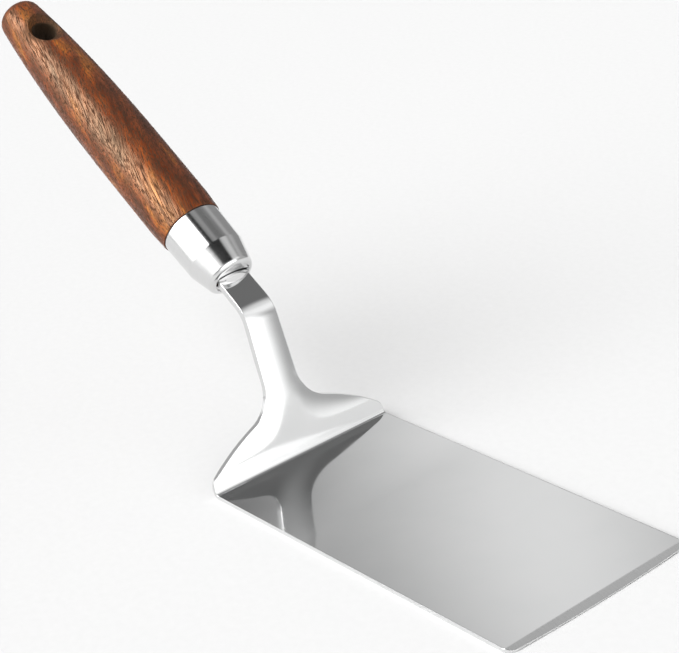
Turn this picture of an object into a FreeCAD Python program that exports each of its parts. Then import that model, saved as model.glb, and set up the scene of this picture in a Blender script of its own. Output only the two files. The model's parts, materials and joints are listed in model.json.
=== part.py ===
import FreeCAD, Part
import Sketcher
import os

# A grill spatula: a bright steel blade whose heel is bent up into a flared
# flange and a neck, and a turned wooden handle held on a steel ferrule.
#
# Frame: the origin is the centre of the blade's flat underside, +X points to
# the leading edge, +Y across the blade and +Z up. The handle's own frame has
# its X along the handle, away from the blade, and its Z up and square to it.

DIMENSIONS = [
    # Blade, flange and neck.
    ("blade_long", 150.0, "heel line to the start of the ground bevel"),
    ("blade_wide", 80.0, "across the blade"),
    ("sheet_thick", 1.5, "blade and flange sheet"),
    ("bevel_long", 2.1, "bevel at the blade's corners"),
    ("edge_bow", 1.1, "how far the leading edge bows beyond its corners"),
    ("edge_thick", 0.4, "steel left under the bevel at its middle"),
    ("corner_round", 3.5, "front corners of the blade"),
    ("heel_angle", 76.2, "degrees, flange above the blade"),
    ("heel_round", 1.6, "inside of the heel bend"),
    ("shoulder_low", 4.1, "up the flange, where the shoulder meets the side"),
    ("shoulder_high", 19.6, "up the flange, where the shoulder meets the neck"),
    ("shoulder_round", 93.0, "slow curve of the shoulder"),
    ("flange_corner", 5.0, "outer corners of the flange"),
    ("neck_fillet", 14.0, "shoulder into neck"),
    ("neck_wide", 15.2, "neck where the shoulders meet it"),
    ("tail_wide", 12.9, "parallel tail at the ferrule"),
    ("neck_thick", 2.6, "neck and tail"),
    ("thicken_low", 16.0, "up the flange, where the neck begins to thicken"),
    ("thicken_high", 40.0, "up the flange, where it is full thickness"),
    ("bend_round", 13.0, "outside of the bend from neck to tail"),
    # Handle axis. Places along it count from the point above the heel line.
    ("handle_angle", 33.96, "degrees, handle above the blade"),
    ("axis_rise", 47.0, "handle axis above the table at the heel line"),
    ("tail_top", 0.7, "top face of the tail above the axis"),
    ("tail_end", 41.0, "end of the tail in the boss"),
    # Boss and tang.
    ("boss_front", 31.2, "front of the boss on the neck"),
    ("boss_sweep", 1.9, "how far its front curves back at the sides"),
    ("boss_crown", 2.2, "top of its crown above the axis"),
    ("boss_edge", 0.9, "crown's height above the axis at the sides"),
    ("boss_ramp", 3.0, "length of the sloping front"),
    ("boss_back", 45.0, "back face of the boss"),
    ("tang_radius", 3.0, "tang rod"),
    ("tang_end", 110.0, "end of the tang rod"),
    ("tang_film", 0.3, "glue round the tang"),
    # Ferrule.
    ("ferrule_front", 33.6, "end of the nose"),
    ("nose_radius", 9.27, "sharp corner of the nose before rounding"),
    ("nose_round", 2.2, "rounding of the nose"),
    ("dish_rim", 7.4, "rim of the dished end"),
    ("dish_floor", 6.95, "floor of the dished end"),
    ("dish_depth", 0.8, "depth of the dished end"),
    ("slot_play", 0.5, "gap round the boss in the ferrule's slot"),
    ("crease_at", 44.3, "crease between cone and barrel"),
    ("crease_radius", 11.85, "radius at the crease"),
    ("seam_at", 59.7, "back edge of the ferrule"),
    ("seam_radius", 12.15, "ferrule at its back edge"),
    ("ferrule_wall", 1.1, "wall of the nose and the cone"),
    ("socket_radius", 10.9, "inside of the barrel"),
    # Wooden grip.
    ("spigot_front", 47.0, "front of the spigot inside the ferrule"),
    ("ferrule_film", 0.15, "glue under the ferrule"),
    ("seam_gap", 0.45, "glue line between ferrule and wood"),
    ("grip_start", 12.5, "radius of the wood at the seam"),
    ("swell_end", 68.0, "where the grip reaches its full radius"),
    ("grip_radius", 13.0, "thickest part of the wood"),
    ("grip_shoulder", 0.3, "rounded edge of the wood at the seam"),
    ("taper_at", 92.0, "where the grip begins to taper"),
    ("taper_end", 183.3, "rim of the domed end before rounding"),
    ("taper_drop", 4.63, "radius lost in the taper"),
    ("taper_power", 2.45, "how late the taper comes on"),
    ("grip_end", 185.3, "top of the domed end"),
    ("end_round", 4.5, "rounding of the rim of the end"),
    ("hang_at", 165.6, "centre of the hanging hole"),
    ("hang_radius", 4.7, "hanging hole"),
    ("hang_wall", 6.7, "half length of the hole's straight wall"),
    ("hang_flare", 5.0, "width and depth of its countersinks"),
]
D = "Dimensions"
HEEL = f"(-{D}.blade_long / 2)"
TAIL_BASE = f"({D}.tail_top - {D}.neck_thick)"

doc = FreeCAD.newDocument("grill_spatula")


def make_sheet():
    """The driving dimensions, one row each: name, value and what it is."""
    table = doc.addObject("Spreadsheet::Sheet", D)
    for row, (name, value, note) in enumerate(DIMENSIONS, start=1):
        table.set(f"A{row}", name)
        table.set(f"B{row}", str(value))
        table.setAlias(f"B{row}", name)
        table.set(f"C{row}", note)
    doc.recompute()
    return table


sheet = make_sheet()


def value_of(expression):
    """The number that an expression in the sheet's names gives."""
    result = sheet.evalExpression(expression)
    return float(getattr(result, "Value", result))


# ---------------------------------------------------------------- sketches

def new_sketch(body, name, plane):
    """A sketch on one of the body's own origin planes."""
    sketch = body.newObject("Sketcher::SketchObject", name)
    support = [f for f in body.Origin.OriginFeatures if f.Role == plane][0]
    sketch.AttachmentSupport = [(support, "")]
    sketch.MapMode = "FlatFace"
    return sketch


def place_point(sketch, line, end, point):
    """Bind one end of a line to a pair of expressions."""
    for kind, expression in zip(("DistanceX", "DistanceY"), point):
        bound = Sketcher.Constraint(kind, -1, 1, line, end, value_of(expression))
        index = sketch.addConstraint(bound)
        sketch.setExpression(f"Constraints[{index}]", expression)


def draw_outline(sketch, points, arcs=None):
    """A closed outline through points given as pairs of expressions.

    arcs maps a side's number to its radius, as an expression; a positive
    radius bows to the right of the direction of travel, a negative one to
    the left. Every other side is straight.
    """
    arcs = arcs or {}
    corners = [FreeCAD.Vector(value_of(x), value_of(y), 0) for x, y in points]
    for side, start in enumerate(corners):
        end = corners[(side + 1) % len(corners)]
        if side in arcs:
            sketch.addGeometry(bowed_side(start, end, value_of(arcs[side])))
        else:
            sketch.addGeometry(Part.LineSegment(start, end))
    # An arc drawn clockwise has its start and end points the other way round.
    starts = [2 if side in arcs and value_of(arcs[side]) < 0 else 1
              for side in range(len(corners))]
    for side, first in enumerate(starts):
        after = (side + 1) % len(corners)
        last = 3 - first
        joined = Sketcher.Constraint("Coincident", side, last, after, starts[after])
        sketch.addConstraint(joined)
        place_point(sketch, side, first, points[side])
    for side, radius in arcs.items():
        size = Sketcher.Constraint("Radius", side, abs(value_of(radius)))
        index = sketch.addConstraint(size)
        sign = "-" if value_of(radius) < 0 else ""
        sketch.setExpression(f"Constraints[{index}]", f"{sign}({radius})")


def round_corner(sketch, before, after, corner, radius):
    """Round the corner between two sides that meet at a bound point."""
    where = FreeCAD.Vector(value_of(corner[0]), value_of(corner[1]), 0)
    picks = [beside_corner(sketch.Geometry[side], where) for side in (before, after)]
    sketch.fillet(before, after, picks[0], picks[1], value_of(radius), True, False)
    arc = sketch.GeometryCount - 1
    size = Sketcher.Constraint("Radius", arc, value_of(radius))
    sketch.setExpression(f"Constraints[{sketch.addConstraint(size)}]", radius)
    sharp = sketch.addGeometry(Part.Point(where), True)
    place_point(sketch, sharp, 1, corner)
    for side in (before, after):
        sketch.addConstraint(Sketcher.Constraint("PointOnObject", sharp, 1, side))
    if sketch.solve() != 0:
        raise RuntimeError(sketch.Name + " has no solution with its round corner")


def beside_corner(curve, corner):
    """A point on a curve, a quarter of the way in from its end at a corner."""
    first, last = curve.FirstParameter, curve.LastParameter
    if (curve.value(last) - corner).Length < (curve.value(first) - corner).Length:
        first, last = last, first
    return curve.value(first + (last - first) / 4)


def bowed_side(start, end, radius):
    """An arc from start to end, bowed right (+) or left (-) of the way."""
    chord = end - start
    right = FreeCAD.Vector(chord.y, -chord.x, 0).normalize()
    side = 1 if radius > 0 else -1
    sag = abs(radius) - (radius ** 2 - chord.Length ** 2 / 4) ** 0.5
    middle = (start + end) * 0.5 + right * (side * sag)
    if side > 0:
        return Part.ArcOfCircle(start, middle, end)
    return Part.ArcOfCircle(end, middle, start)


# ---------------------------------------------------------------- features

def new_body(label):
    """A body that will be written as one piece."""
    return doc.addObject("PartDesign::Body", label)


def lay_on_handle(body):
    """Put a body that is drawn along X on the handle's axis."""
    tilt = FreeCAD.Rotation(FreeCAD.Vector(0, 1, 0), value_of(f"{D}.handle_angle"))
    turn = FreeCAD.Rotation(FreeCAD.Vector(0, 0, 1), 180)
    body.Placement = FreeCAD.Placement(FreeCAD.Vector(), tilt * turn)
    body.setExpression("Placement.Base.x", HEEL)
    body.setExpression("Placement.Base.z", f"{D}.axis_rise")


def pad_both_ways(body, sketch, width):
    """A pad of the whole width, centred on the sketch."""
    pad = body.newObject("PartDesign::Pad", sketch.Name + "_pad")
    pad.Profile = sketch
    pad.SideType = "Symmetric"
    pad.setExpression("Length", width)
    doc.recompute()
    return pad


def cut_both_ways(body, sketch, depth):
    """A pocket through the body, both ways from the sketch."""
    before = body.Shape.Volume
    pocket = body.newObject("PartDesign::Pocket", sketch.Name + "_cut")
    pocket.Profile = sketch
    pocket.SideType = "Symmetric"
    pocket.setExpression("Length", depth)
    doc.recompute()
    print(f"{pocket.Name} removes {before - pocket.Shape.Volume:.2f} mm3")
    if before - pocket.Shape.Volume <= 0:
        raise RuntimeError(pocket.Name + " cuts nothing")
    return pocket


def turn_on_lathe(body, sketch):
    """A solid of revolution about the sketch's own X axis."""
    turned = body.newObject("PartDesign::Revolution", sketch.Name + "_turned")
    turned.Profile = sketch
    turned.ReferenceAxis = (sketch, ["H_Axis"])
    turned.Angle = 360
    doc.recompute()
    return turned


def round_edges(body, name, points, radius):
    """Fillet the edges that pass through the given points."""
    reach = 0.05
    base = body.Tip
    spots = [Part.Vertex(FreeCAD.Vector(*point)) for point in points]
    chosen = []
    for number, edge in enumerate(base.Shape.Edges, start=1):
        if any(edge.distToShape(spot)[0] < reach for spot in spots):
            chosen.append(f"Edge{number}")
    if len(chosen) != len(points):
        raise RuntimeError(f"{name}: {len(chosen)} edges for {len(points)} points")
    fillet = body.newObject("PartDesign::Fillet", name)
    fillet.Base = (base, chosen)
    fillet.setExpression("Radius", radius)
    doc.recompute()
    return fillet


# ---------------------------------------------------------- blade and neck

def on_flange(up, behind):
    """A point up the flange's front face and some way behind that face."""
    x = f"{HEEL} - ({up}) * cos({D}.heel_angle) - ({behind}) * sin({D}.heel_angle)"
    z = (f"{D}.sheet_thick + ({up}) * sin({D}.heel_angle)"
         f" - ({behind}) * cos({D}.heel_angle)")
    return x, z


def on_handle(along, above):
    """A point along the handle's axis and some way above it."""
    x = f"{HEEL} - ({along}) * cos({D}.handle_angle) + ({above}) * sin({D}.handle_angle)"
    z = (f"{D}.axis_rise + ({along}) * sin({D}.handle_angle)"
         f" + ({above}) * cos({D}.handle_angle)")
    return x, z


def neck_corners():
    """The sharp corners of the neck's bend, front and back."""
    turn = f"({D}.heel_angle - {D}.handle_angle)"
    rise = f"({D}.axis_rise - {D}.sheet_thick) * cos({D}.heel_angle)"
    front = f"({rise} + {D}.tail_top * cos{turn}) / sin{turn}"
    back = f"({rise} + {D}.neck_thick + {TAIL_BASE} * cos{turn}) / sin{turn}"
    return on_handle(front, f"{D}.tail_top"), on_handle(back, TAIL_BASE)


def blade_and_neck():
    """Blade, flange, neck and tail, forged and pressed from one piece."""
    body = new_body("blade_and_neck")
    tip = f"{D}.blade_long / 2 + {D}.bevel_long + {D}.edge_bow"
    heel_back = (f"{HEEL} - {D}.sheet_thick * tan({D}.heel_angle / 2)", "0")
    heel_front = (HEEL, f"{D}.sheet_thick")
    bend_front, bend_back = neck_corners()

    side = new_sketch(body, "side_profile", "XZ_Plane")
    draw_outline(side, [
        (tip, "0"),
        (tip, f"{D}.sheet_thick"),
        heel_front,
        bend_front,
        on_handle(f"{D}.tail_end", f"{D}.tail_top"),
        on_handle(f"{D}.tail_end", TAIL_BASE),
        bend_back,
        on_flange(f"{D}.thicken_high", f"{D}.neck_thick"),
        on_flange(f"{D}.thicken_low", f"{D}.sheet_thick"),
        heel_back,
    ])
    pad_both_ways(body, side, f"{D}.blade_wide")

    def across(corner):
        return value_of(corner[0]), 0, value_of(corner[1])

    round_edges(body, "heel_inside", [across(heel_front)], f"{D}.heel_round")
    round_edges(body, "heel_outside", [across(heel_back)],
                f"{D}.heel_round + {D}.sheet_thick")
    round_edges(body, "bend_outside", [across(bend_front)], f"{D}.bend_round")
    round_edges(body, "bend_inside", [across(bend_back)],
                f"{D}.bend_round - {D}.neck_thick")

    cut_flare(body)
    cut_leading_edge(body, tip)
    return body


def cut_flare(body):
    """Trim the raised sheet to the shoulders, the neck and the tail."""
    half_blade = f"{D}.blade_wide / 2"
    half_neck = f"{D}.neck_wide / 2"
    half_tail = f"{D}.tail_wide / 2"
    low = on_flange(f"{D}.shoulder_low", "0")[1]
    high = on_flange(f"{D}.shoulder_high", "0")[1]
    parallel = on_handle(f"{D}.boss_front", "0")[1]
    top = on_handle(f"{D}.tail_end", f"{D}.tail_wide")[1]
    outside = f"{half_blade} + {D}.sheet_thick"
    depth = f"2 * {D}.blade_long"

    for hand, sign in (("left", ""), ("right", "-")):
        sketch = new_sketch(body, hand + "_shoulder", "YZ_Plane")
        throat = (f"{sign}({half_neck})", high)
        draw_outline(sketch, [
            (f"{sign}({half_blade})", low),
            throat,
            (f"{sign}({half_tail})", parallel),
            (f"{sign}({half_tail})", top),
            (f"{sign}({outside})", top),
            (f"{sign}({outside})", low),
        ], arcs={0: f"{sign or '+'}{D}.shoulder_round"})
        round_corner(sketch, 0, 1, throat, f"{D}.neck_fillet")
        cut_both_ways(body, sketch, depth)

    corners = [in_sheet(low, side * value_of(half_blade)) for side in (-1, 1)]
    round_edges(body, "flange_corners", corners, f"{D}.flange_corner")


def in_sheet(height, across):
    """A point halfway through the flange's sheet at a given height."""
    back = f"({height} - {D}.sheet_thick) / tan({D}.heel_angle)"
    half = f"{D}.sheet_thick / 2 / sin({D}.heel_angle)"
    return value_of(f"{HEEL} - {back} - {half}"), across, value_of(height)


def cut_leading_edge(body, tip):
    """Bow the leading edge, round its corners and grind its bevel."""
    half = f"{D}.blade_wide / 2"
    corner = f"{D}.blade_long / 2 + {D}.bevel_long"
    beyond = f"{tip} + {D}.sheet_thick"
    radius = f"({D}.blade_wide ^ 2 / 4 + {D}.edge_bow ^ 2) / (2 * {D}.edge_bow)"
    plan = new_sketch(body, "leading_edge", "XY_Plane")
    draw_outline(plan, [
        (corner, f"-{half}"),
        (corner, half),
        (beyond, half),
        (beyond, f"-{half}"),
    ], arcs={0: radius})
    cut_both_ways(body, plan, f"4 * {D}.sheet_thick")
    corners = [(value_of(corner), side * value_of(half), value_of(f"{D}.sheet_thick / 2"))
               for side in (-1, 1)]
    round_edges(body, "front_corners", corners, f"{D}.corner_round")

    bevel = new_sketch(body, "bevel", "XZ_Plane")
    draw_outline(bevel, [
        (f"{D}.blade_long / 2", f"{D}.sheet_thick"),
        (tip, f"{D}.edge_thick"),
        (tip, f"{D}.sheet_thick"),
    ])
    cut_both_ways(body, bevel, f"2 * {D}.blade_wide")


# ------------------------------------------------------------ boss and tang

def crowned_outline(grow):
    """Cross-section of the boss, grown all round by an expression."""
    half = f"({D}.tail_wide / 2 + {grow})"
    middle = f"({D}.tail_top + {TAIL_BASE}) / 2"
    edge = f"({D}.boss_edge - {middle} + {grow})"
    crown = f"({D}.boss_crown - {D}.boss_edge)"
    arc = f"({half} ^ 2 + {crown} ^ 2) / (2 * {crown})"
    points = [
        (half, f"{middle} - {edge}"),
        (half, f"{middle} + {edge}"),
        (f"-{half}", f"{middle} + {edge}"),
        (f"-{half}", f"{middle} - {edge}"),
    ]
    return points, {1: arc, 3: arc}


def neck_boss():
    """Crowned plug that fills the ferrule's slot, split over the neck's tail."""
    body = new_body("neck_boss")
    half = f"{D}.tail_wide / 2"
    ahead = f"{D}.boss_front - {D}.neck_thick"
    section = new_sketch(body, "boss_section", "YZ_Plane")
    points, arcs = crowned_outline("0")
    draw_outline(section, points, arcs)
    pad = body.newObject("PartDesign::Pad", "boss_pad")
    pad.Profile = section
    pad.setExpression("Length", f"{D}.boss_back")
    doc.recompute()

    sweep = f"({D}.tail_wide ^ 2 / 4 + {D}.boss_sweep ^ 2) / (2 * {D}.boss_sweep)"
    front = new_sketch(body, "boss_front_curve", "XY_Plane")
    wide = f"({half} + {D}.neck_thick)"
    behind = f"{D}.boss_front + {D}.boss_sweep"
    draw_outline(front, [
        (behind, half),
        (behind, f"-{half}"),
        (behind, f"-{wide}"),
        (f"-{D}.neck_thick", f"-{wide}"),
        (f"-{D}.neck_thick", wide),
        (behind, wide),
    ], arcs={0: sweep})
    cut_both_ways(body, front, f"4 * {D}.boss_crown + 4 * {D}.neck_thick")

    for hand, sign in (("upper", ""), ("lower", "-")):
        middle = f"({D}.tail_top + {TAIL_BASE}) / 2"
        face = f"{middle} {sign or '+'} ({D}.boss_edge - {middle})"
        crown = f"{middle} {sign or '+'} ({D}.boss_crown - {middle} + {D}.slot_play)"
        ramp = new_sketch(body, hand + "_ramp", "XZ_Plane")
        draw_outline(ramp, [
            (f"{D}.boss_front", face),
            (f"{D}.boss_front + {D}.boss_ramp", crown),
            (ahead, crown),
            (ahead, face),
        ])
        cut_both_ways(body, ramp, f"2 * {D}.tail_wide")

    slot = new_sketch(body, "boss_slot", "XZ_Plane")
    draw_outline(slot, [
        (ahead, TAIL_BASE),
        (f"{D}.tail_end", TAIL_BASE),
        (f"{D}.tail_end", f"{D}.tail_top"),
        (ahead, f"{D}.tail_top"),
    ])
    cut_both_ways(body, slot, f"2 * {D}.tail_wide")
    lay_on_handle(body)


def tang_rod():
    """Round rod welded to the boss and running into the wood."""
    body = new_body("tang_rod")
    profile = new_sketch(body, "tang_profile", "XZ_Plane")
    draw_outline(profile, [
        (f"{D}.boss_back", "0"),
        (f"{D}.tang_end", "0"),
        (f"{D}.tang_end", f"{D}.tang_radius"),
        (f"{D}.boss_back", f"{D}.tang_radius"),
    ])
    turn_on_lathe(body, profile)
    lay_on_handle(body)


def tang_adhesive():
    """Glue film that fills the drilled hole round the tang."""
    body = new_body("tang_adhesive")
    bore = f"{D}.tang_radius + {D}.tang_film"
    bottom = f"{D}.tang_end + {D}.tang_film"
    profile = new_sketch(body, "tang_film_profile", "XZ_Plane")
    draw_outline(profile, [
        (f"{D}.spigot_front", f"{D}.tang_radius"),
        (f"{D}.tang_end", f"{D}.tang_radius"),
        (f"{D}.tang_end", "0"),
        (bottom, "0"),
        (bottom, bore),
        (f"{D}.spigot_front", bore),
    ])
    turn_on_lathe(body, profile)
    lay_on_handle(body)


# ----------------------------------------------------------------- ferrule

def ferrule():
    """Drawn steel shell with a rounded nose and a dished, slotted end."""
    body = new_body("ferrule")
    floor = f"{D}.ferrule_front + {D}.dish_depth"
    inside = f"{floor} + {D}.ferrule_wall"
    profile = new_sketch(body, "ferrule_profile", "XZ_Plane")
    draw_outline(profile, [
        (floor, "0"),
        (inside, "0"),
        (inside, f"{D}.nose_radius - {D}.ferrule_wall"),
        (f"{D}.crease_at", f"{D}.socket_radius"),
        (f"{D}.seam_at", f"{D}.socket_radius"),
        (f"{D}.seam_at", f"{D}.seam_radius"),
        (f"{D}.crease_at", f"{D}.crease_radius"),
        (f"{D}.ferrule_front", f"{D}.nose_radius"),
        (f"{D}.ferrule_front", f"{D}.dish_rim"),
        (floor, f"{D}.dish_floor"),
    ])
    turn_on_lathe(body, profile)
    nose = (value_of(f"{D}.ferrule_front"), value_of(f"{D}.nose_radius"), 0)
    round_edges(body, "nose_rounding", [nose], f"{D}.nose_round")
    slot = new_sketch(body, "ferrule_slot", "YZ_Plane")
    points, arcs = crowned_outline(f"{D}.slot_play")
    draw_outline(slot, points, arcs)
    cut_both_ways(body, slot, f"2 * {D}.crease_at")
    lay_on_handle(body)


def ferrule_adhesive():
    """Glue film under the ferrule, with the dark bead that shows at its edge."""
    body = new_body("ferrule_adhesive")
    spigot = f"{D}.socket_radius - {D}.ferrule_film"
    back = f"{D}.seam_at + {D}.seam_gap"
    profile = new_sketch(body, "ferrule_film_profile", "XZ_Plane")
    draw_outline(profile, [
        (f"{D}.spigot_front", spigot),
        (back, spigot),
        (back, f"{D}.seam_radius"),
        (f"{D}.seam_at", f"{D}.seam_radius"),
        (f"{D}.seam_at", f"{D}.socket_radius"),
        (f"{D}.spigot_front", f"{D}.socket_radius"),
    ])
    turn_on_lathe(body, profile)
    lay_on_handle(body)


# -------------------------------------------------------------- wooden grip

TAPER_BANDS = 12


def taper_points():
    """The taper's outline, from the rim of the end back to the full radius."""
    points = []
    for band in range(TAPER_BANDS, -1, -1):
        part = f"{band} / {TAPER_BANDS}"
        along = f"{D}.taper_at + ({D}.taper_end - {D}.taper_at) * {part}"
        drop = f"{D}.taper_drop * ({part}) ^ {D}.taper_power"
        points.append((along, f"{D}.grip_radius - {drop}"))
    return points


def handle_grip():
    """Turned hardwood handle with a spigot, a tang hole and a hanging hole."""
    body = new_body("handle_grip")
    spigot = f"{D}.socket_radius - {D}.ferrule_film"
    bore = f"{D}.tang_radius + {D}.tang_film"
    bottom = f"{D}.tang_end + {D}.tang_film"
    shoulder = f"{D}.seam_at + {D}.seam_gap"
    bulge = f"({D}.grip_end - {D}.taper_end)"
    rim = f"({D}.grip_radius - {D}.taper_drop)"
    dome = f"({rim} ^ 2 + {bulge} ^ 2) / (2 * {bulge})"
    profile = new_sketch(body, "grip_profile", "XZ_Plane")
    draw_outline(profile, [
        (f"{D}.spigot_front", bore),
        (bottom, bore),
        (bottom, "0"),
        (f"{D}.grip_end", "0"),
        *taper_points(),
        (f"{D}.swell_end", f"{D}.grip_radius"),
        (shoulder, f"{D}.grip_start"),
        (shoulder, spigot),
        (f"{D}.spigot_front", spigot),
    ], arcs={3: dome})
    turn_on_lathe(body, profile)
    round_edges(body, "end_rounding", [(value_of(f"{D}.taper_end"), value_of(rim), 0)],
                f"{D}.end_round")
    edge = (value_of(shoulder), value_of(f"{D}.grip_start"), 0)
    round_edges(body, "shoulder_rounding", [edge], f"{D}.grip_shoulder")
    cut_hanging_hole(body)
    lay_on_handle(body)


def cut_hanging_hole(body):
    """A cross hole with a countersink at both of its mouths."""
    outer = f"({D}.hang_wall + {D}.hang_flare)"
    tool = new_sketch(body, "hanging_hole", "XZ_Plane")
    near = f"{D}.hang_at + {D}.hang_radius"
    draw_outline(tool, [
        (f"{D}.hang_at", f"-{outer}"),
        (f"{near} + {D}.hang_flare", f"-{outer}"),
        (near, f"-{D}.hang_wall"),
        (near, f"{D}.hang_wall"),
        (f"{near} + {D}.hang_flare", outer),
        (f"{D}.hang_at", outer),
    ])
    centre = value_of(f"{D}.hang_at")
    line = Part.LineSegment(FreeCAD.Vector(centre, 0, 0), FreeCAD.Vector(centre, 1, 0))
    axis = tool.addGeometry(line, True)
    place_point(tool, axis, 1, (f"{D}.hang_at", "0"))
    place_point(tool, axis, 2, (f"{D}.hang_at", "1"))
    before = body.Shape.Volume
    groove = body.newObject("PartDesign::Groove", "hanging_hole_cut")
    groove.Profile = tool
    groove.ReferenceAxis = (tool, ["Axis0"])
    groove.Angle = 360
    doc.recompute()
    print(f"{groove.Name} removes {before - groove.Shape.Volume:.2f} mm3")
    if before - groove.Shape.Volume <= 0:
        raise RuntimeError("the hanging hole cuts nothing")


# ------------------------------------------------------------------- output

def check_document():
    """Stop if any object failed or any piece has no sound shape."""
    for thing in doc.Objects:
        if "Invalid" in thing.State or "Error" in thing.State:
            raise RuntimeError(f"{thing.Name} failed: {thing.State}")
    for body in doc.findObjects("PartDesign::Body"):
        if body.Shape.isNull() or not body.Shape.isValid():
            raise RuntimeError(f"{body.Label} has no sound shape")
        if len(body.Shape.Solids) != 1:
            raise RuntimeError(f"{body.Label} is not one solid")


def write_parts():
    """One STEP file for each piece, named after it."""
    os.makedirs("parts", exist_ok=True)
    for body in doc.findObjects("PartDesign::Body"):
        body.Shape.exportStep(f"parts/{body.Label}.step")
        box = body.Shape.BoundBox
        print(f"{body.Label:18s} {body.Shape.Volume:9.1f} mm3  x {box.XMin:7.2f} {box.XMax:7.2f}"
              f"  y {box.YMin:6.2f} {box.YMax:6.2f}  z {box.ZMin:6.2f} {box.ZMax:6.2f}")


blade_and_neck()
neck_boss()
tang_rod()
tang_adhesive()
ferrule()
ferrule_adhesive()
handle_grip()
doc.recompute()
check_document()
write_parts()
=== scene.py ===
# %% [markdown]
# # A grill spatula, finished for looks
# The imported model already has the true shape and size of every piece: the
# steel blade with its neck, the boss that plugs the ferrule, the ferrule and
# the wooden grip. This lesson gives each one the surface that its maker gave
# it, and then sets up a plain studio to look at it in.

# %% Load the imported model
import json
import math
import bpy
from mathutils import Matrix, Quaternion, Vector


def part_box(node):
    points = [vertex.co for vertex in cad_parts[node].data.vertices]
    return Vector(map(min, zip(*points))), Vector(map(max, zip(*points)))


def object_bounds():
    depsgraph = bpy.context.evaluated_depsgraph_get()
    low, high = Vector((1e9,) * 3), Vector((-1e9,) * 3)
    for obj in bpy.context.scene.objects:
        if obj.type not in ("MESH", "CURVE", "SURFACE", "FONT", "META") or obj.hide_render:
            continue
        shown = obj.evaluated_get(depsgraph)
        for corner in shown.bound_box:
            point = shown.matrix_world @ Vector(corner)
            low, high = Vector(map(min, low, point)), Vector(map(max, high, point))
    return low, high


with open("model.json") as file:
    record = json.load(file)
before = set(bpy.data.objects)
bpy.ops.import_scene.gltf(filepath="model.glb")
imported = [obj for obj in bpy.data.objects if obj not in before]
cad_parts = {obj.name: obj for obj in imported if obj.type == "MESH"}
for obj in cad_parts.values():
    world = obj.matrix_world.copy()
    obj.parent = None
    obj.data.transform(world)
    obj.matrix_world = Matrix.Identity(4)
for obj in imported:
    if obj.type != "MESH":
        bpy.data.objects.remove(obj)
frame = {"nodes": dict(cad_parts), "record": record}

cad_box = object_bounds()
MM = 0.001
nodes = frame["nodes"]
print("pieces:", sorted(nodes))
print("CAD box, mm:", [[round(v / MM, 2) for v in corner] for corner in cad_box])

# %% [markdown]
# ## Where the handle points
# Wood grain and turning marks follow the handle, and the handle leans back.
# The hanging hole is drilled square to the handle, so its axis in the record
# gives that lean. A Mapping node can then turn every pattern to lie along it.
# Measuring the lean from the mesh would work too, but the record states it.

# %% The handle's own directions
hole = next(m for m in frame["record"]["mounts"] if m["name"] == "hang_hole")
hole_centre = Vector(hole["pos_m"])
above_handle = Vector(hole["axis"]).normalized()
along_handle = Vector((-above_handle.z, 0, above_handle.x))    # towards the far end
handle_lean = math.atan2(above_handle.x, above_handle.z)
print("handle leans", round(math.degrees(handle_lean), 2), "degrees")

# %% [markdown]
# ## Helpers for colours and nodes
# Colours are easiest to choose as the hex values of a paint chart, but a
# renderer adds up light, so they have to be turned linear first. A material
# is a tree of nodes, and one function is enough to add any of them: it makes
# the node, sets its options, and fills or links its inputs.

# %% Colour and node helpers
def linear(hex_colour):
    """The linear RGBA of an sRGB hex value such as "C8C8C6"."""
    parts = [int(hex_colour[i:i + 2], 16) / 255 for i in (0, 2, 4)]
    return [p / 12.92 if p <= 0.04045 else ((p + 0.055) / 1.055) ** 2.4 for p in parts] + [1]


def add(tree, kind, inputs=None, **settings):
    """Add a node, set its options, and set or link its inputs."""
    made = tree.nodes.new(kind)
    for name, value in settings.items():
        setattr(made, name, value)
    for name, value in (inputs or {}).items():
        if isinstance(value, bpy.types.NodeSocket):
            tree.links.new(value, made.inputs[name])
        else:
            made.inputs[name].default_value = value
    return made


def new_material(name):
    """An empty material tree with its shader wired to its output."""
    material = bpy.data.materials.new(name)
    material.use_nodes = True
    tree = material.node_tree
    tree.nodes.clear()
    shader = add(tree, "ShaderNodeBsdfPrincipled")
    add(tree, "ShaderNodeOutputMaterial", {"Surface": shader.outputs["BSDF"]})
    return material, tree, shader


# %% [markdown]
# ## Patterns that run one way
# Grinding, turning and growing all leave marks that are long one way and
# close together the other. Noise that is squeezed differently along each axis
# draws them all, so one helper takes the size of a mark along X, Y and Z.
# Marks that follow the handle also need coordinates that lie along it.

# %% Stretched patterns
def marks(tree, place, size_mm, detail, roughness=0.5):
    """A noise whose marks have the given sizes, in millimetres, along X, Y and Z."""
    squeezed = add(tree, "ShaderNodeMapping",
                   {"Vector": place, "Scale": [1 / (size * MM) for size in size_mm]})
    return add(tree, "ShaderNodeTexNoise",
               {"Vector": squeezed.outputs["Vector"], "Scale": 1.0, "Detail": detail,
                "Roughness": roughness})


def handle_coordinates(tree):
    """Object coordinates turned so that X runs along the handle to the blade."""
    place = add(tree, "ShaderNodeTexCoord").outputs["Object"]
    return add(tree, "ShaderNodeMapping",
               {"Vector": place, "Rotation": (0, -handle_lean, 0)}).outputs["Vector"]


# %% [markdown]
# ## Polished stainless steel
# The blade, its flange and its neck are one pressing of stainless sheet, ground
# and then buffed on a mop until it works as a mirror. Steel is a metal, so its
# colour sits in the reflection: metallic 1, a light neutral grey, and a low
# roughness. Buffing leaves three things that make it read as steel and not as
# glass: faint hairlines along the sheet, cloudy patches where the mop dwelt,
# and edges that it has rounded over. The ground bevel keeps the lines of its
# belt. Hairlines and belt lines are finer than a render can show, so they are
# drawn about a third of a millimetre apart.

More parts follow.
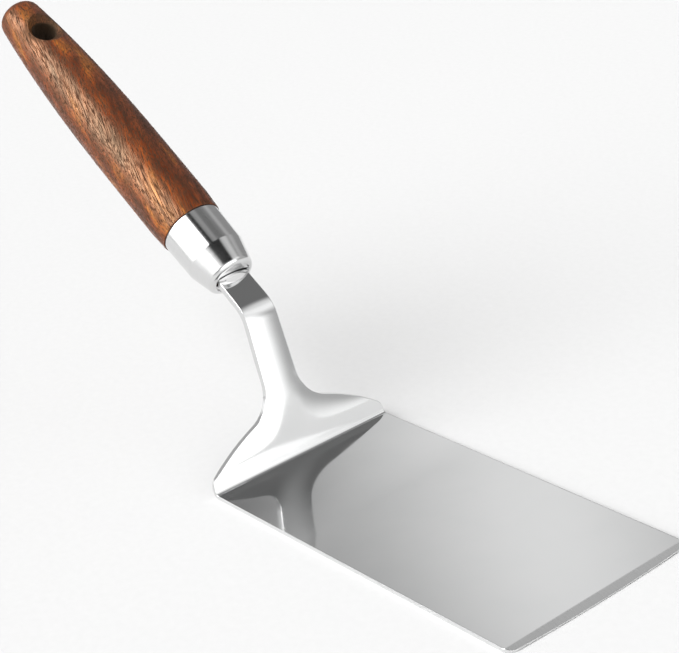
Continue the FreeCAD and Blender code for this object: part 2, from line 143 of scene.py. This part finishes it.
# %% Where the blade's zones begin
BEVEL_LONG = 3.2 * MM            # 2.1 mm of ground bevel and 1.1 mm of bow
BLADE_LONG = 150 * MM            # from the heel line to the bevel
_, blade_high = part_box("blade_and_neck")
bevel_start = blade_high.x - BEVEL_LONG
heel_x = bevel_start - BLADE_LONG
print("heel line at", round(heel_x / MM, 1), "mm, bevel from",
      round(bevel_start / MM, 1), "mm")

# %% [markdown]
# ## What a mop does to flat steel
# No mop leaves a flat face truly flat. It wears the neck's edges more than its
# middle, so the neck is crowned by a third of a millimetre, and it hardly
# reaches the corner of the heel, so the blade's face falls away from there. A
# mirror shows even small slopes. The heel's slope is chosen for what it
# mirrors: as a real shape it would drop nearly 3 mm, which the flat mesh
# doesn't have. A Bump node draws both from heights in metres.

# %% Crowned neck and falling heel
CROWN_RADIUS = 85 * MM           # of the neck's face, across its width
CROWN_Z = (8 * MM, 30 * MM)      # the crown grows between these heights
HEEL_REACH = 50 * MM             # how far from the heel line the shading falls away
HEEL_SLOPE = 0.11                # of the shaded face at the heel line


def crowned_neck(tree, split):
    """Height in metres of the neck's slight crown, nil on the blade."""
    square = add(tree, "ShaderNodeMath", {0: split.outputs["Y"], 1: split.outputs["Y"]},
                 operation="MULTIPLY")
    dome = add(tree, "ShaderNodeMath", {0: square.outputs["Value"], 1: -0.5 / CROWN_RADIUS},
               operation="MULTIPLY")
    on_neck = add(tree, "ShaderNodeMapRange",
                  {"Value": split.outputs["Z"], "From Min": CROWN_Z[0],
                   "From Max": CROWN_Z[1]},
                  interpolation_type="SMOOTHSTEP")
    return add(tree, "ShaderNodeMath",
               {0: dome.outputs["Value"], 1: on_neck.outputs["Result"]},
               operation="MULTIPLY").outputs["Value"]


def falling_heel(tree, split):
    """Height in metres for the shading alone, which falls away from the heel line."""
    along = add(tree, "ShaderNodeMapRange",
                {"Value": split.outputs["X"], "From Min": heel_x,
                 "From Max": heel_x + HEEL_REACH, "To Max": HEEL_REACH}).outputs["Result"]
    bent = add(tree, "ShaderNodeMath", {0: along, 1: 0.5, 2: -HEEL_REACH},
               operation="MULTIPLY_ADD").outputs["Value"]
    drop = add(tree, "ShaderNodeMath", {0: along, 1: bent}, operation="MULTIPLY")
    return add(tree, "ShaderNodeMath",
               {0: drop.outputs["Value"], 1: HEEL_SLOPE / HEEL_REACH},
               operation="MULTIPLY").outputs["Value"]


# %% Polished stainless steel
BROKEN_EDGE = 0.35 * MM          # radius that the mop leaves on every edge
SCRATCH_DEPTH = 0.02 * MM


def polished_stainless():
    material, tree, shader = new_material("stainless_steel_mop_polished")
    place = add(tree, "ShaderNodeTexCoord").outputs["Object"]
    split = add(tree, "ShaderNodeSeparateXYZ", {"Vector": place})

    # Cloudy patches, about 18 mm across.
    clouds = add(tree, "ShaderNodeTexNoise",
                 {"Vector": place, "Scale": 1 / (18 * MM), "Detail": 3.0, "Roughness": 0.55})
    # Hairlines run along the sheet: long in X, close together across it.
    hairs = marks(tree, place, (30, 0.35, 30), detail=2.0)

    # The ground bevel is left from a finer belt: its lines cross the edge.
    bevel = add(tree, "ShaderNodeMapRange",
                {"Value": split.outputs["X"], "From Min": bevel_start,
                 "From Max": bevel_start + 0.2 * MM}, interpolation_type="SMOOTHSTEP")
    belt = marks(tree, place, (6, 0.3, 6), detail=3.0)

    cloudy = add(tree, "ShaderNodeMapRange",
                 {"Value": clouds.outputs["Fac"], "From Min": 0.3, "From Max": 0.7,
                  "To Min": 0.035, "To Max": 0.075})
    lined = add(tree, "ShaderNodeMath",
                {0: hairs.outputs["Fac"], 1: 0.03, 2: cloudy.outputs["Result"]},
                operation="MULTIPLY_ADD")
    ground = add(tree, "ShaderNodeMapRange",
                 {"Value": belt.outputs["Fac"], "To Min": 0.16, "To Max": 0.34})
    rough = add(tree, "ShaderNodeMix",
                {"Factor": bevel.outputs["Result"], "A": lined.outputs["Value"],
                 "B": ground.outputs["Result"]})
    tree.links.new(rough.outputs["Result"], shader.inputs["Roughness"])

    tint = add(tree, "ShaderNodeMix",
               {"Factor": clouds.outputs["Fac"], "A": linear("D9DADA"), "B": linear("E2E2E2")},
               data_type="RGBA")
    tree.links.new(tint.outputs["Result"], shader.inputs["Base Color"])

    # The crown is nil on the blade, and the heel's fall is nil on the neck.
    mopped_height = add(tree, "ShaderNodeMath",
                        {0: crowned_neck(tree, split), 1: falling_heel(tree, split)},
                        operation="ADD").outputs["Value"]
    edges = add(tree, "ShaderNodeBevel", {"Radius": BROKEN_EDGE}, samples=6)
    hair_bump = add(tree, "ShaderNodeBump",
                    {"Height": hairs.outputs["Fac"], "Strength": 0.04,
                     "Distance": SCRATCH_DEPTH, "Normal": edges.outputs["Normal"]})
    belt_height = add(tree, "ShaderNodeMath",
                      {0: belt.outputs["Fac"], 1: bevel.outputs["Result"]},
                      operation="MULTIPLY")
    belt_bump = add(tree, "ShaderNodeBump",
                    {"Height": belt_height.outputs["Value"], "Strength": 0.3,
                     "Distance": SCRATCH_DEPTH, "Normal": hair_bump.outputs["Normal"]})
    shape = add(tree, "ShaderNodeBump",
                {"Height": mopped_height, "Strength": 1.0, "Distance": 1.0,
                 "Normal": belt_bump.outputs["Normal"]})
    tree.links.new(shape.outputs["Normal"], shader.inputs["Normal"])
    shader.inputs["Metallic"].default_value = 1.0
    return material


polished = polished_stainless()
print("made", polished.name)

# %% [markdown]
# ## Satin-turned steel
# The ferrule is drawn from thin sheet and finished on a lathe with a fine
# abrasive, so its marks are rings round the handle. Light catches them across
# the ring, which stretches every highlight along the handle: that is what the
# anisotropic setting does, with the handle's direction as its tangent. The
# rings are drawn 0.2 mm apart, which is coarser than the real grit. The boss
# that plugs the ferrule's slot is finished the same way.

# %% Satin-turned steel
def satin_steel():
    material, tree, shader = new_material("stainless_steel_satin_turned")
    turned = handle_coordinates(tree)
    rings = marks(tree, turned, (0.2, 9, 9), detail=3.0, roughness=0.6)
    wear = add(tree, "ShaderNodeTexNoise",
               {"Vector": turned, "Scale": 1 / (7 * MM), "Detail": 2.0})
    grit = add(tree, "ShaderNodeMapRange",
               {"Value": rings.outputs["Fac"], "From Min": 0.25, "From Max": 0.75,
                "To Min": 0.13, "To Max": 0.18})
    rough = add(tree, "ShaderNodeMath",
                {0: wear.outputs["Fac"], 1: 0.03, 2: grit.outputs["Result"]},
                operation="MULTIPLY_ADD")
    tree.links.new(rough.outputs["Value"], shader.inputs["Roughness"])
    tint = add(tree, "ShaderNodeMix",
               {"Factor": rings.outputs["Fac"], "A": linear("D2D2D2"), "B": linear("E4E4E4")},
               data_type="RGBA")
    tree.links.new(tint.outputs["Result"], shader.inputs["Base Color"])
    bump = add(tree, "ShaderNodeBump",
               {"Height": rings.outputs["Fac"], "Strength": 0.05, "Distance": SCRATCH_DEPTH})
    tree.links.new(bump.outputs["Normal"], shader.inputs["Normal"])
    tangent = add(tree, "ShaderNodeCombineXYZ",
                  {"X": along_handle.x, "Y": along_handle.y, "Z": along_handle.z})
    tree.links.new(tangent.outputs["Vector"], shader.inputs["Tangent"])
    shader.inputs["Metallic"].default_value = 1.0
    shader.inputs["Anisotropic"].default_value = 0.6
    return material


satin = satin_steel()
print("made", satin.name)

# %% [markdown]
# ## Drawn rod and glue
# The tang is plain drawn rod: its die leaves straight scratches along it. The
# glue that beds it and seals the ferrule is drawn near black, slightly uneven
# where it was wiped. Only its thin bead at the ferrule's edge shows, and it
# draws the dark line at that joint.

# %% Drawn rod
def drawn_rod():
    material, tree, shader = new_material("steel_rod_as_drawn")
    scratches = marks(tree, handle_coordinates(tree), (25, 0.25, 0.25), detail=3.0)
    rough = add(tree, "ShaderNodeMapRange",
                {"Value": scratches.outputs["Fac"], "To Min": 0.3, "To Max": 0.5})
    tree.links.new(rough.outputs["Result"], shader.inputs["Roughness"])
    tint = add(tree, "ShaderNodeMix",
               {"Factor": scratches.outputs["Fac"], "A": linear("9B9A97"),
                "B": linear("B9B8B5")},
               data_type="RGBA")
    tree.links.new(tint.outputs["Result"], shader.inputs["Base Color"])
    bump = add(tree, "ShaderNodeBump",
               {"Height": scratches.outputs["Fac"], "Strength": 0.2,
                "Distance": SCRATCH_DEPTH})
    tree.links.new(bump.outputs["Normal"], shader.inputs["Normal"])
    shader.inputs["Metallic"].default_value = 1.0
    return material


rod = drawn_rod()
print("made", rod.name)


# %% Epoxy
def dark_epoxy():
    material, tree, shader = new_material("epoxy_dark_cast")
    place = add(tree, "ShaderNodeTexCoord").outputs["Object"]
    wiped = add(tree, "ShaderNodeTexNoise",
                {"Vector": place, "Scale": 1 / (2 * MM), "Detail": 3.0})
    rough = add(tree, "ShaderNodeMapRange",
                {"Value": wiped.outputs["Fac"], "To Min": 0.35, "To Max": 0.65})
    tree.links.new(rough.outputs["Result"], shader.inputs["Roughness"])
    tint = add(tree, "ShaderNodeMix",
               # Near black: the bead draws the dark line at the ferrule's joint.
               {"Factor": wiped.outputs["Fac"], "A": linear("140C0A"), "B": linear("2A1A14")},
               data_type="RGBA")
    tree.links.new(tint.outputs["Result"], shader.inputs["Base Color"])
    bump = add(tree, "ShaderNodeBump",
               {"Height": wiped.outputs["Fac"], "Strength": 0.3, "Distance": 0.05 * MM})
    tree.links.new(bump.outputs["Normal"], shader.inputs["Normal"])
    return material


epoxy = dark_epoxy()
print("made", epoxy.name)

# %% [markdown]
# ## The wood's grain
# The grip is a reddish open-grained hardwood of the mahogany family, turned,
# sanded and oiled. Its patterns are solid, in the handle's own directions, so
# they run through the wood and turn into dots on the end, as real ones do. The
# blank was sawn a little across its grain, so the streaks lean to the handle.
# In such interlocked wood the fibres lean one way and then the other, which a
# slow noise draws by pushing the coordinates sideways.

# %% Coordinates that follow the grain
GRAIN_LEAN = (0, math.radians(-9), math.radians(12))    # up and across the handle
SWAY_SIZE = (45, 14, 14)         # millimetres of wood that lean one way
SWAY = 5 * MM                    # how far the fibres are pushed sideways


def grain_coordinates(tree):
    """Coordinates with X along the wood's fibres."""
    straight = add(tree, "ShaderNodeMapping",
                   {"Vector": handle_coordinates(tree),
                    "Rotation": GRAIN_LEAN}).outputs["Vector"]
    sway = marks(tree, straight, SWAY_SIZE, detail=0.0)
    offset = add(tree, "ShaderNodeVectorMath",
                 {0: sway.outputs["Color"], 1: (0.0, SWAY, SWAY)}, operation="MULTIPLY")
    return add(tree, "ShaderNodeVectorMath", {0: straight, 1: offset.outputs["Vector"]},
               operation="ADD").outputs["Vector"]


# %% [markdown]
# ## The wood's colour
# Four patterns make it: a broad ribbon figure where the grain changes
# direction, finer growth lines, single fibres, and open pores, which show as
# short dark strokes. Real pores and fibres are finer than a render can show, so
# they are drawn a few tenths of a millimetre wide. A colour ramp turns the
# value of a pattern into wood colours.

# %% Colour of the bare wood
def paint_ramp(ramp, stops):
    """Set a colour ramp's stops from pairs of place and hex colour."""
    elements = ramp.color_ramp.elements
    while len(elements) < len(stops):
        elements.new(1.0)
    for element, (place, colour) in zip(elements, stops):
        element.position = place
        element.color = linear(colour)


def bare_wood(tree, grain, fibre, pores):
    """Colour of the wood before oil darkens its end grain."""
    ribbon = marks(tree, grain, (30, 6.0, 6.0), detail=2.0).outputs["Fac"]
    growth = marks(tree, grain, (26, 1.8, 1.8), detail=3.0).outputs["Fac"]
    body = add(tree, "ShaderNodeValToRGB", {"Fac": ribbon})
    paint_ramp(body, [(0.34, "461C0B"), (0.47, "5F290F"), (0.57, "743814"), (0.68, "905620")])
    lines = add(tree, "ShaderNodeValToRGB", {"Fac": growth})
    paint_ramp(lines, [(0.36, "A08078"), (0.50, "D2BEB2"), (0.62, "FFF4E6")])
    lined = add(tree, "ShaderNodeMix",
                {"Factor": 0.6, "A": body.outputs["Color"], "B": lines.outputs["Color"]},
                data_type="RGBA", blend_type="MULTIPLY")
    fibres = add(tree, "ShaderNodeMapRange",
                 {"Value": fibre, "From Min": 0.36, "From Max": 0.64,
                  "To Min": 0.5, "To Max": 1.5})
    fibred = add(tree, "ShaderNodeVectorMath",
                 {0: lined.outputs["Result"], "Scale": fibres.outputs["Result"]},
                 operation="SCALE")
    pore_share = add(tree, "ShaderNodeMath", {0: pores, 1: 0.8}, operation="MULTIPLY")
    return add(tree, "ShaderNodeMix",
               {"Factor": pore_share.outputs["Value"], "A": fibred.outputs["Vector"],
                "B": linear("1C0A06")}, data_type="RGBA").outputs["Result"]


# %% [markdown]
# ## Oiled end grain, and painted shade in the hole
# End grain drinks oil and turns dark. On this grip it lies open inside
# the hanging hole, on the hole's flared mouths and a little on the rounded end.
# In the hole and on its mouths the colour goes nearly to black, which is painted
# shade of the hole laid over its oiled end grain.
# The distance from the hole's axis finds the first two, and the direction that
# a face points in finds the end.

# %% Soaked end grain
HOLE_EDGE = (4.8 * MM, 5.8 * MM)     # from the hole's axis, across its wall
MOUTH_EDGE = (7.2 * MM, 8.8 * MM)    # from the hole's axis, across the mouth's rim


def end_grain_and_hole_shade(tree):
    """How far the wood is darkened: most in the hole, as painted shade
    over oiled end grain, and some on the rounded end.
    """
    place = add(tree, "ShaderNodeTexCoord").outputs["Object"]
    from_hole = add(tree, "ShaderNodeVectorMath", {0: place, 1: hole_centre},
                    operation="SUBTRACT")
    across = add(tree, "ShaderNodeVectorMath",
                 {0: from_hole.outputs["Vector"], 1: above_handle}, operation="CROSS_PRODUCT")
    distance = add(tree, "ShaderNodeVectorMath", {0: across.outputs["Vector"]},
                   operation="LENGTH")
    in_hole = add(tree, "ShaderNodeMapRange",
                  {"Value": distance.outputs["Value"], "From Min": HOLE_EDGE[0],
                   "From Max": HOLE_EDGE[1], "To Min": 0.97, "To Max": 0.0})
    on_mouth = add(tree, "ShaderNodeMapRange",
                   {"Value": distance.outputs["Value"], "From Min": MOUTH_EDGE[0],
                    "From Max": MOUTH_EDGE[1], "To Min": 0.6, "To Max": 0.0})
    facing = add(tree, "ShaderNodeNewGeometry").outputs["Normal"]
    endwise = add(tree, "ShaderNodeVectorMath", {0: facing, 1: along_handle},
                  operation="DOT_PRODUCT")
    on_end = add(tree, "ShaderNodeMapRange",
                 {"Value": endwise.outputs["Value"], "From Min": 0.45, "From Max": 0.95,
                  "To Max": 0.4})
    most = add(tree, "ShaderNodeMath",
               {0: in_hole.outputs["Result"], 1: on_mouth.outputs["Result"]},
               operation="MAXIMUM")
    return add(tree, "ShaderNodeMath",
               {0: most.outputs["Value"], 1: on_end.outputs["Result"]},
               operation="MAXIMUM").outputs["Value"]


# %% [markdown]
# ## The oiled surface
# Oil fills the wood but not the pores. The fibres shine in streaks, while the
# pores and the soaked end grain stay rough, and the pores are slightly sunk.
# 1.5 is a usual IOR for an oil finish, and the golden tint is the light that
# bounces inside the fibres.

# %% Oiled hardwood
PORE_DEPTH = 0.08 * MM


def oiled_hardwood():
    material, tree, shader = new_material("hardwood_mahogany_oiled")
    grain = grain_coordinates(tree)
    fibre = marks(tree, grain, (9, 0.42, 0.42), detail=2.0, roughness=0.6).outputs["Fac"]
    pore_noise = marks(tree, grain, (4.5, 0.3, 0.3), detail=1.0).outputs["Fac"]
    pores = add(tree, "ShaderNodeMapRange",
                {"Value": pore_noise, "From Min": 0.52, "From Max": 0.62},
                interpolation_type="SMOOTHSTEP").outputs["Result"]
    end_grain_and_shade = end_grain_and_hole_shade(tree)
    # The near black in the hole and on its mouths is painted shade, over the oiled end grain.
    colour = add(tree, "ShaderNodeMix",
                 {"Factor": end_grain_and_shade, "A": bare_wood(tree, grain, fibre, pores),
                  "B": linear("0E0402")}, data_type="RGBA")
    tree.links.new(colour.outputs["Result"], shader.inputs["Base Color"])

    sheen = add(tree, "ShaderNodeMapRange",
                {"Value": fibre, "From Min": 0.4, "From Max": 0.58,
                 "To Min": 0.58, "To Max": 0.22})
    opened = add(tree, "ShaderNodeMath", {0: pores, 1: end_grain_and_shade}, operation="MAXIMUM")
    rough = add(tree, "ShaderNodeMix",
                {"Factor": opened.outputs["Value"], "A": sheen.outputs["Result"], "B": 0.9})
    tree.links.new(rough.outputs["Result"], shader.inputs["Roughness"])
    sunk = add(tree, "ShaderNodeMath", {0: pores, 1: -1.0}, operation="MULTIPLY")
    pore_bump = add(tree, "ShaderNodeBump",
                    {"Height": sunk.outputs["Value"], "Strength": 0.35,
                     "Distance": PORE_DEPTH})
    fibre_bump = add(tree, "ShaderNodeBump",
                     {"Height": fibre, "Strength": 0.5, "Distance": PORE_DEPTH,
                      "Normal": pore_bump.outputs["Normal"]})
    tree.links.new(fibre_bump.outputs["Normal"], shader.inputs["Normal"])
    shader.inputs["IOR"].default_value = 1.5
    shader.inputs["Specular IOR Level"].default_value = 0.7
    shader.inputs["Specular Tint"].default_value = linear("FFDFB4")
    return material


wood = oiled_hardwood()
print("made", wood.name)

# %% [markdown]
# ## Dress the pieces
# Each CAD piece keeps its mesh and only changes its material.

# %% Materials onto pieces
FINISHES = {
    "blade_and_neck": polished,
    "neck_boss": satin,
    "ferrule": satin,
    "tang_rod": rod,
    "tang_adhesive": epoxy,
    "ferrule_adhesive": epoxy,
    "handle_grip": wood,
}
for name, material in FINISHES.items():
    piece = nodes[name]
    piece.data.materials.clear()
    piece.data.materials.append(material)
    print(f"{name:18s} {len(piece.data.polygons):6d} faces  {material.name}")

# %% [markdown]
# ## The floor
# A plain pale table for the tool to lie on. A real one would be a sweep of
# paper; a flat disc does the same where only its middle is seen.

# %% Pale floor
def pale_floor():
    material, tree, shader = new_material("paper_white_matt")
    place = add(tree, "ShaderNodeTexCoord").outputs["Object"]
    tooth = add(tree, "ShaderNodeTexNoise",
                {"Vector": place, "Scale": 1 / (3 * MM), "Detail": 2.0})
    tint = add(tree, "ShaderNodeMix",
               {"Factor": tooth.outputs["Fac"], "A": linear("C6C6C6"), "B": linear("CBCBCB")},
               data_type="RGBA")
    tree.links.new(tint.outputs["Result"], shader.inputs["Base Color"])
    shader.inputs["Roughness"].default_value = 0.9
    shader.inputs["Specular IOR Level"].default_value = 0.1
    return material


FLOOR_RADIUS = 0.7
FLOOR_CENTRE = (-0.34, 0.20, 0)
FLOOR_GAP = 0.05 * MM            # under the blade, so that no two faces coincide
bpy.ops.mesh.primitive_circle_add(vertices=96, radius=FLOOR_RADIUS, fill_type="NGON")
floor = bpy.context.object
floor.name = "floor"
floor.data.transform(Matrix.Translation(FLOOR_CENTRE))
floor.data.materials.append(pale_floor())
floor.location.z = cad_box[0].z - FLOOR_GAP
print("floor radius", FLOOR_RADIUS, "m")

# %% [markdown]
# ## Studio light
# Polished steel shows the room and little else, so the room is the lighting:
# a large soft box on the left, a white card ahead of the blade, a narrow strip
# behind it, and grey and black flags overhead. Lamps would give hard-edged
# shapes; a world whose brightness depends on direction gives the soft edges
# of light through cloth. Each card is a cone of directions that fades out
# between two angles, and a flag is a card that takes light away.

# %% The room as a world of soft cards
def direction(azimuth, elevation):
    """Unit vector; azimuth counts from +X towards +Y, both in degrees."""
    a, e = math.radians(azimuth), math.radians(elevation)
    return Vector((math.cos(e) * math.cos(a), math.cos(e) * math.sin(a), math.sin(e)))


world = bpy.data.worlds.new("studio")
bpy.context.scene.world = world
world.use_nodes = True
room = world.node_tree
room.nodes.clear()
outward = add(room, "ShaderNodeTexCoord").outputs["Generated"]
gaze = add(room, "ShaderNodeVectorMath", {0: outward}, operation="NORMALIZE").outputs["Vector"]


def fading(angle, full, fade, strength):
    """Strength that holds up to one angle, in degrees, and is gone at another."""
    return add(room, "ShaderNodeMapRange",
               {"Value": angle, "From Min": math.radians(full),
                "From Max": math.radians(fade), "To Min": strength, "To Max": 0.0},
               interpolation_type="SMOOTHSTEP").outputs["Result"]


def card(azimuth, elevation, full, fade, strength):
    """Brightness of a round soft card, seen from the middle of the room."""
    facing = add(room, "ShaderNodeVectorMath",
                 {0: gaze, 1: direction(azimuth, elevation)}, operation="DOT_PRODUCT")
    angle = add(room, "ShaderNodeMath", {0: facing.outputs["Value"]}, operation="ARCCOSINE")
    return fading(angle.outputs["Value"], full, fade, strength)


def narrowed(light, azimuth, half_width):
    """A card cut down to an upright strip that fades out to both sides."""
    beside = add(room, "ShaderNodeVectorMath",
                 {0: gaze, 1: direction(azimuth + 90, 0)}, operation="DOT_PRODUCT")
    off_side = add(room, "ShaderNodeMath", {0: beside.outputs["Value"]}, operation="ARCSINE")
    off_centre = add(room, "ShaderNodeMath", {0: off_side.outputs["Value"]},
                     operation="ABSOLUTE")
    strip = fading(off_centre.outputs["Value"], 0, half_width, 1.0)
    return add(room, "ShaderNodeMath", {0: light, 1: strip},
               operation="MULTIPLY").outputs["Value"]


# %% [markdown]
# ## Walls, cards and ground
# The walls are a mid grey that darkens upwards. The cards add to them or take
# from them, and below the horizon the room has a pale ground.

# %% The room's light
WALL_FADE = (37, 53)             # degrees up, between which the walls darken
GROUND_FADE = (-4, -9)           # degrees up, between which the ground begins
STRIP_AZIMUTH = 138              # of the narrow strip behind the tool
height = add(room, "ShaderNodeSeparateXYZ", {"Vector": gaze}).outputs["Z"]
walls = add(room, "ShaderNodeMapRange",
            {"Value": height, "From Min": math.sin(math.radians(WALL_FADE[0])),
             "From Max": math.sin(math.radians(WALL_FADE[1])), "To Min": 0.52, "To Max": 0.42},
            interpolation_type="SMOOTHSTEP").outputs["Result"]
CARDS = [
    # azimuth, elevation, full, fade, strength
    (-100, 42, 20, 31, 7.6),     # soft box on the left
    (-112, 22, 10, 40, 2.4),     # its spill, lower down
    (-5, 4, 28, 44, 1.6),        # white card ahead of the blade
    (42, 38, 8, 24, 0.66),       # dimmer card that lights the bend and cone
    (-13, 55, 19, 27, -0.42),    # black flag beside the soft box
    (-62, 75, 4, 10, -0.42),     # black strip along the soft box's top
    (64, 56, 16, 27, -0.23),     # grey flag overhead
    (147, 43, 5, 14, -0.36),     # grey flag above the strip
    (110, 5, 20, 38, -0.19),     # darker wall on the right
    (111, 51, 5, 13, 0.3),       # small card for the ground edge
]
light = narrowed(card(STRIP_AZIMUTH, 31, 20, 34, 0.42), STRIP_AZIMUTH, 7.5)
for settings in CARDS:
    light = add(room, "ShaderNodeMath", {0: light, 1: card(*settings)},
                operation="ADD").outputs["Value"]
light = add(room, "ShaderNodeMath", {0: light, 1: walls}, operation="ADD").outputs["Value"]
ground = add(room, "ShaderNodeMapRange",
             {"Value": height, "From Min": math.sin(math.radians(GROUND_FADE[0])),
              "From Max": math.sin(math.radians(GROUND_FADE[1])),
              "To Min": 0.0, "To Max": 0.85},
             interpolation_type="SMOOTHSTEP").outputs["Result"]
light = add(room, "ShaderNodeMath", {0: light, 1: ground},
            operation="MAXIMUM").outputs["Value"]
glow = add(room, "ShaderNodeBackground", {"Color": linear("FFFFFF"), "Strength": light})
add(room, "ShaderNodeOutputWorld", {"Surface": glow.outputs["Background"]})
print("cards in the room:", len(CARDS) + 1)

# %% [markdown]
# ## Camera
# A long lens from the front right, above the blade, and slightly rolled, so
# that the tool lies across the picture from corner to corner. The plain
# "Standard" view keeps white paper white.

# %% Camera
CAMERA_SPOT = Vector((449.913, -354.047, 333.829)) * MM
LOOK_AT = Vector((-68.066, 19.733, 47.497)) * MM
ROLL = math.radians(-8.231)
LENS = 101.834                   # millimetres, for a sensor 36 mm wide
look = (LOOK_AT - CAMERA_SPOT).normalized()
camera_data = bpy.data.cameras.new("camera")
camera_data.lens = LENS
camera_data.sensor_width = 36
camera = bpy.data.objects.new("camera", camera_data)
bpy.context.scene.collection.objects.link(camera)
camera.rotation_mode = "QUATERNION"
camera.rotation_quaternion = look.to_track_quat("-Z", "Y") @ Quaternion((0, 0, 1), ROLL)
camera.location = CAMERA_SPOT
camera_data.clip_start, camera_data.clip_end = 0.02, 20
bpy.context.scene.camera = camera
bpy.context.scene.view_settings.view_transform = "Standard"
print("camera is", round((LOOK_AT - CAMERA_SPOT).length, 3), "m from what it looks at")
